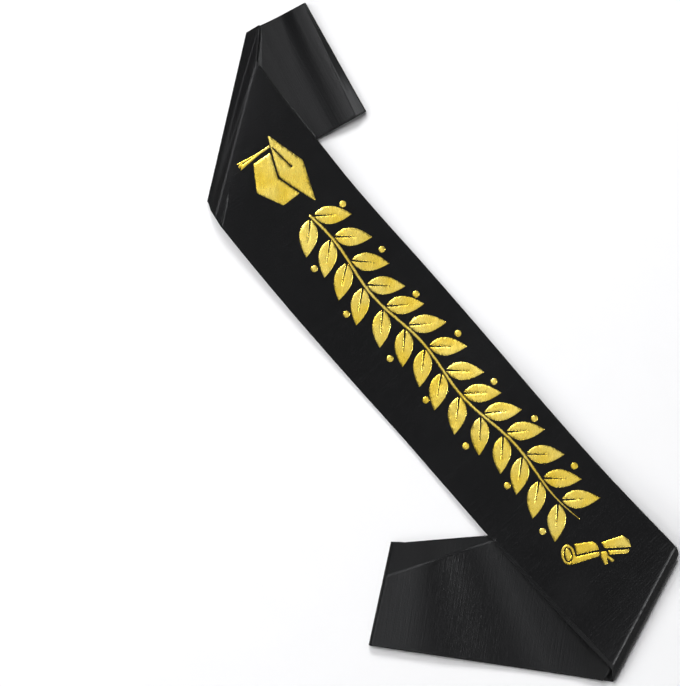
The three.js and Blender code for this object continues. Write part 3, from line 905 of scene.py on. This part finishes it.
def inset(loop, depth):
    """The loop moved towards the foil, which is on its left"""
    moved = []
    for before, at, after in zip(loop[-1:] + loop[:-1], loop, loop[1:] + loop[:1]):
        n0 = np.array((before[1] - at[1], at[0] - before[0])) / math.dist(before, at)
        n1 = np.array((at[1] - after[1], after[0] - at[0])) / math.dist(at, after)
        mean = n0 + n1
        size = max(float(mean @ mean) / 2, SHARPEST_CORNER)
        moved.append(tuple(np.array(at) + mean * depth / size))
    return moved


def inside_loops(point, loops):
    """Whether the point lies inside, by the even-odd rule"""
    x, y = point
    odd = False
    for loop in loops:
        for (x0, y0), (x1, y1) in zip(loop, loop[1:] + loop[:1]):
            if (y0 > y) != (y1 > y) and x < x0 + (y - y0) / (y1 - y0) * (x1 - x0):
                odd = not odd
    return odd


def foil_piece(node, outline, holes=()):
    loops = []
    for loop, way in [(outline, 1)] + [(hole, -1) for hole in holes]:
        loop = resampled(loop, FOIL_STEP)
        loops.append(loop if signed_area(loop) * way > 0 else loop[::-1])
    rims = [inset(loop, FOIL_RIM) for loop in loops]
    points = [Vector(q) for loop in loops for q in loop]
    edges = []
    for loop in loops:
        first = sum(len(other) for other in loops[: loops.index(loop)])
        edges += [(first + i, first + (i + 1) % len(loop)) for i in range(len(loop))]
    ring = np.array([q for loop in loops for q in loop])
    candidates = [q for rim in rims for q in rim]
    low, high = ring.min(axis=0), ring.max(axis=0)
    for row, y in enumerate(np.arange(low[1], high[1], FOIL_GRID * GRID_ROW)):
        candidates += [(x, y) for x in np.arange(low[0] + (row % 2) * FOIL_GRID / 2, high[0], FOIL_GRID)]
    for number, q in enumerate(candidates):
        near = np.min(np.hypot(*(ring - q).T))
        clear = FOIL_RIM * RIM_CLEAR if number < sum(map(len, rims)) else FOIL_GRID * GRID_CLEAR
        if near > clear and inside_loops(q, loops):
            points.append(Vector(q))
    flat, _, triangles = delaunay_2d_cdt(points, edges, [], 1, 1e-5)[:3]
    if holes:
        middles = [sum((flat[i] for i in t), Vector((0, 0))) / 3 for t in triangles]
        triangles = [t for t, middle in zip(triangles, middles) if inside_loops(middle, loops)]
    edge_count = len(ring)
    vertices = []
    for layer in (1, 0):
        for i, q in enumerate(flat):
            rim = i < edge_count
            height = FOIL_CLEAR + (0.0 if not layer else FOIL_EDGE if rim else FOIL)
            vertices.append([MM * c for c in on_front(q.x, q.y, height)])
    count = len(flat)
    faces = []
    sides = {}
    for triangle in triangles:
        a, b, c = triangle
        if (flat[b] - flat[a]).cross(flat[c] - flat[a]) < 0:
            a, b, c = a, c, b
        faces.append((a, b, c))
        faces.append((a + count, c + count, b + count))
        for edge in ((a, b), (b, c), (c, a)):
            sides[edge] = True
    faces += [(a, a + count, b + count, b) for a, b in sides if (b, a) not in sides]
    made = new_object("foil_" + node, vertices, faces, foil)
    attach(made, "root")
    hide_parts(node)
    return made


CAP = {"along": 47.5, "across": 18.8, "half_length": 31.6, "half_height": 11.0, "gap": 1.3}
CROWN = {"half_width": 19.0, "side_height": 15.4, "depth": 19.2, "tip_round": 1.2}
TASSEL = {"from_tip": 8.4, "top_width": 1.8, "end_width": 5.8, "length": 28.2}
CORD = {"length": 21.0, "width": 0.8, "button": 1.1}
GARLAND = {"gap": 5.0, "across": 8.5, "pairs": 14, "first": 0.12, "wave": 2.4, "wave_pairs": 4.7}
STEM_WIDTH, STEM_TIP, STEM_TAPER = 2.2, 0.3, 0.25
LEAF = {
    "length": 28.5, "spacing": 2.9, "swell": 0.34, "angle": 49.0, "gap": 1.0, "vein": 1.4, "vein_share": 0.62,
}
BERRY_RADIUS, BERRY_OUTSET = 2.6, 1.0
SCROLL = {"along": FRONT_LENGTH - 49.0, "across": 4.2, "turn": 46.7, "reach": 24.0}


def make_cap():
    half, high = CAP["half_length"], CAP["half_height"]
    slope = high / half
    centre = (CAP["along"], CAP["across"], 0)
    board = placed([(-half, 0), (0, -high), (half, 0), (0, high)], *centre)
    length, wide, button = CORD["length"], CORD["width"] / 2, CORD["button"]
    cord_turn = math.degrees(math.atan2(slope * (half - length), length))
    cord = placed(
        [
            (-length, -wide), (-button, -wide), (0, -button), (button, 0), (0, button), (-button, wide),
            (-length, wide),
        ],
        CAP["along"] - button, CAP["across"] + button, cord_turn,
    )
    foil_piece("cap_board", rounded(board, 2 * CROWN["tip_round"]), [cord])
    side_top = -high + CROWN["half_width"] * slope - CAP["gap"]
    peak = -high - CAP["gap"]
    wide = CROWN["half_width"]
    crown = [
        (-wide, side_top), (-wide, side_top - CROWN["side_height"]), (0, peak - CROWN["depth"]),
        (wide, side_top - CROWN["side_height"]), (wide, side_top), (0, peak),
    ]
    foil_piece("cap_crown", rounded(placed(crown, *centre), CROWN["tip_round"]))
    x = TASSEL["from_tip"] - half
    top = -high + abs(x) * slope - CAP["gap"] / 2
    a, b, long = TASSEL["top_width"] / 2, TASSEL["end_width"] / 2, TASSEL["length"]
    tassel = [
        (x - a, top + a * slope), (x - a, top - long / 3), (x - b, top - long),
        (x - b * 0.45, top - long + 1.7), (x - b * 0.1, top - long), (x + b * 0.35, top - long + 1.6),
        (x + b, top - long), (x + a, top - long / 3), (x + a, top - a * slope),
    ]
    strands = [(x - 0.15, top - long * 0.45), (x - 0.7, top - long + 3.4), (x - 0.1, top - long + 3.2)]
    foil_piece("cap_tassel", rounded(placed(tassel, *centre), a / 3), [placed(strands, *centre)])


GARLAND_START = CAP["along"] + CAP["half_length"] + GARLAND["gap"]
GARLAND_LENGTH = SCROLL["along"] - SCROLL["reach"] - GARLAND["gap"] - GARLAND_START
LEAF_WIDTH = GARLAND_LENGTH / GARLAND["pairs"] * sine(LEAF["angle"]) - LEAF["spacing"]


def stem_point(share):
    rate = GARLAND["pairs"] * 2 * math.pi / GARLAND["wave_pairs"]
    slope = GARLAND["wave"] * rate / GARLAND_LENGTH
    across = GARLAND["across"] + GARLAND["wave"] * math.sin(share * rate)
    turn = math.degrees(math.atan(slope * math.cos(share * rate)))
    return GARLAND_START + share * GARLAND_LENGTH, across, turn


def beside_stem(share, side, distance):
    along, across, turn = stem_point(share)
    x, y = heading(turn + 90) * side * distance
    return along + x, across + y, turn


def stem_edge(side):
    edge = []
    for share in np.linspace(0, 1, 81):
        taper = STEM_WIDTH / 2 * min(1, STEM_TIP + (1 - share) / STEM_TAPER)
        edge.append(beside_stem(share, side, taper)[:2])
    return edge


def leaf_base(pair, side):
    share = (pair + GARLAND["first"]) / GARLAND["pairs"]
    along, across, turn = beside_stem(share, side, STEM_WIDTH / 2 + LEAF["gap"])
    return along, across, turn / 2 + side * LEAF["angle"]


def make_garland():
    foil_piece("garland_stem", stem_edge(-1) + stem_edge(1)[::-1])
    long, swell, vein = LEAF["length"], LEAF["length"] * LEAF["swell"], LEAF["vein"] / 2
    for pair in range(GARLAND["pairs"]):
        for side, number in ((1, 2 * pair + 1), (-1, 2 * pair + 2)):
            leaf = (
                quadratic((0, vein), (swell, LEAF_WIDTH), (long, 0))
                + quadratic((long, 0), (swell, -LEAF_WIDTH), (0, -vein))[1:]
                + [(long * LEAF["vein_share"], 0)]
            )
            foil_piece(f"garland_leaf_{number:02d}", placed(leaf, *leaf_base(pair, side)))
        side = 1 if pair % 2 == 0 else -1
        tips = [placed([(long, 0)], *leaf_base(n, side))[0] for n in (pair - 1, pair)]
        middle = [(a + b) / 2 for a, b in zip(*tips)]
        middle[1] += side * BERRY_OUTSET
        foil_piece(f"garland_berry_{pair + 1:02d}", ellipse(middle, BERRY_RADIUS, BERRY_RADIUS, 0, steps=26))


SCROLL_PIECES = {
    "scroll_body_left": [(-19.3, -2.9), (-2.4, 0.9), (-4.2, 5.4), (-7.2, 7), (-21.2, 5.2), (-20, 1.4)],
    "scroll_body_right": [(1.9, 2), (21.6, 2.9), (19.6, 8.6), (15, 11.7), (-0.8, 6.4)],
    "scroll_lip_right": [(5, -2.8), (19.1, -1.9), (20.4, 1.1), (4.3, 0.4)],
    "scroll_tie": [
        (-1.2, -0.4), (3.4, -0.2), (4.2, -3.2), (9.1, -6.7), (7.2, -8.6), (3.2, -5), (4.3, -9.6),
        (1.9, -10.5), (-1.2, -4.4),
    ],
}
RING = {"x": -25.5, "y": -2.9, "half_wide": 5.2, "half_high": 7.6, "wall": 1.9, "core_gap": 0.9, "tilt": 10.0}
RING_MOUTH = (-5.7, 291.2)
STRIP = [(-22.6, -10.4), (-2.2, -3.9), (-2.2, -0.4), (-19.4, -4.2)]


def on_scroll(corners):
    return placed(corners, SCROLL["along"], SCROLL["across"], SCROLL["turn"])


def make_scroll():
    for name, corners in SCROLL_PIECES.items():
        foil_piece(name, rounded(on_scroll(corners), 0.6))
    middle = on_scroll([(RING["x"], RING["y"])])[0]
    turn = SCROLL["turn"] + RING["tilt"]

    def ring(shrink, start=0.0, end=360.0):
        return ellipse(middle, RING["half_wide"] - shrink, RING["half_high"] - shrink, turn, start, end)

    foil_piece("scroll_ring", ring(0, *RING_MOUTH) + on_scroll(STRIP), [ring(RING["wall"])])
    foil_piece("scroll_core", ring(RING["wall"] + RING["core_gap"]))


make_cap()
make_garland()
make_scroll()
foil_pieces = bpy.data.collections.new("foil_pieces")
for piece in [thing for thing in bpy.data.objects if thing.name.startswith("foil_")]:
    foil_pieces.objects.link(piece)

# ---- table, lights and camera ----
bpy.ops.mesh.primitive_grid_add(x_subdivisions=4, y_subdivisions=4, size=6, location=(0, 0, -0.0002))
table = bpy.context.object
table.name = "table"
table.data.materials.append(floor_material())


COOL_WHITE = (0.97, 0.98, 1.0)


def area_light(
    name, azimuth, elevation, size, lux, colour=(1, 1, 1), distance=5.0, shine=True, fill=True,
):
    """A soft light over the sash: azimuth runs anticlockwise from +X, and lux is what falls on the table"""
    rise = math.sin(math.radians(elevation))
    light = bpy.data.lights.new(name, "AREA")
    light.shape = "RECTANGLE"
    light.size, light.size_y = size
    light.energy = math.pi * lux * distance**2 / rise
    light.color = colour
    lamp = bpy.data.objects.new(name, light)
    x, y = heading(azimuth) * math.cos(math.radians(elevation)) * distance
    place = Vector((x, y, rise * distance))
    lamp.rotation_mode = "QUATERNION"
    lamp.rotation_quaternion = place.to_track_quat("Z", "Y")
    lamp.location = place
    lamp.visible_camera = False
    lamp.visible_glossy = shine
    lamp.visible_diffuse = fill
    bpy.context.collection.objects.link(lamp)
    return lamp


area_light("soft_key", 135, 60, (1.8, 1.8), 1.1, shine=False)
area_light("soft_far", 100, 34, (2.4, 1.4), 1.55, shine=False)
area_light("soft_left", 160, 30, (2.6, 1.4), 0.8, shine=False)
area_light("soft_low", 205, 20, (2.6, 1.2), 0.4, shine=False)
overhead = area_light("overhead", 0, 90, (1.0, 0.36), 0.22, distance=1.1, fill=False)
overhead.light_linking.receiver_collection = foil_pieces
overhead.rotation_quaternion = Quaternion((0, 0, 1), math.radians(-50))
overhead.location += Vector((0.035, -0.024, 0))
area_light("far_side", 120, 66, (0.9, 0.9), 1.1, COOL_WHITE, fill=False)
area_light("right", -10, 45, (0.9, 0.9), 1.5, COOL_WHITE, fill=False)
area_light("low_side", 270, 55, (0.9, 0.9), 0.33, COOL_WHITE, fill=False)

world = bpy.data.worlds.new("studio")
world.use_nodes = True
world_nodes = world.node_tree
direction = world_nodes.nodes.new("ShaderNodeTexCoord").outputs["Generated"]
upward = world_nodes.nodes.new("ShaderNodeSeparateXYZ")
world_nodes.links.new(direction, upward.inputs[0])
horizon = world_nodes.nodes.new("ShaderNodeMapRange")
for socket, value in ((1, 0.0), (2, 0.8), (3, 0.25), (4, 0.05)):
    horizon.inputs[socket].default_value = value
world_nodes.links.new(upward.outputs[2], horizon.inputs[0])
world_nodes.links.new(horizon.outputs[0], world_nodes.nodes["Background"].inputs[1])
world_nodes.nodes["Background"].inputs[0].default_value = (1, 1, 1, 1)
bpy.context.scene.world = world
bpy.context.scene.view_settings.view_transform = "Standard"

CAMERA_HEIGHT = 2.4
SENSOR = 36.0
camera_data = bpy.data.cameras.new("camera")
camera_data.sensor_width = SENSOR
camera_data.lens = SENSOR * CAMERA_HEIGHT / (FRAME_HIGH * MM_PER_PIXEL * MM)
camera = bpy.data.objects.new("camera", camera_data)
camera.location = (
    (FRAME_WIDE / 2 - PIXEL_OF_ORIGIN[0]) * MM_PER_PIXEL * MM,
    (PIXEL_OF_ORIGIN[1] - FRAME_HIGH / 2) * MM_PER_PIXEL * MM,
    CAMERA_HEIGHT,
)
bpy.context.collection.objects.link(camera)
bpy.context.scene.camera = camera
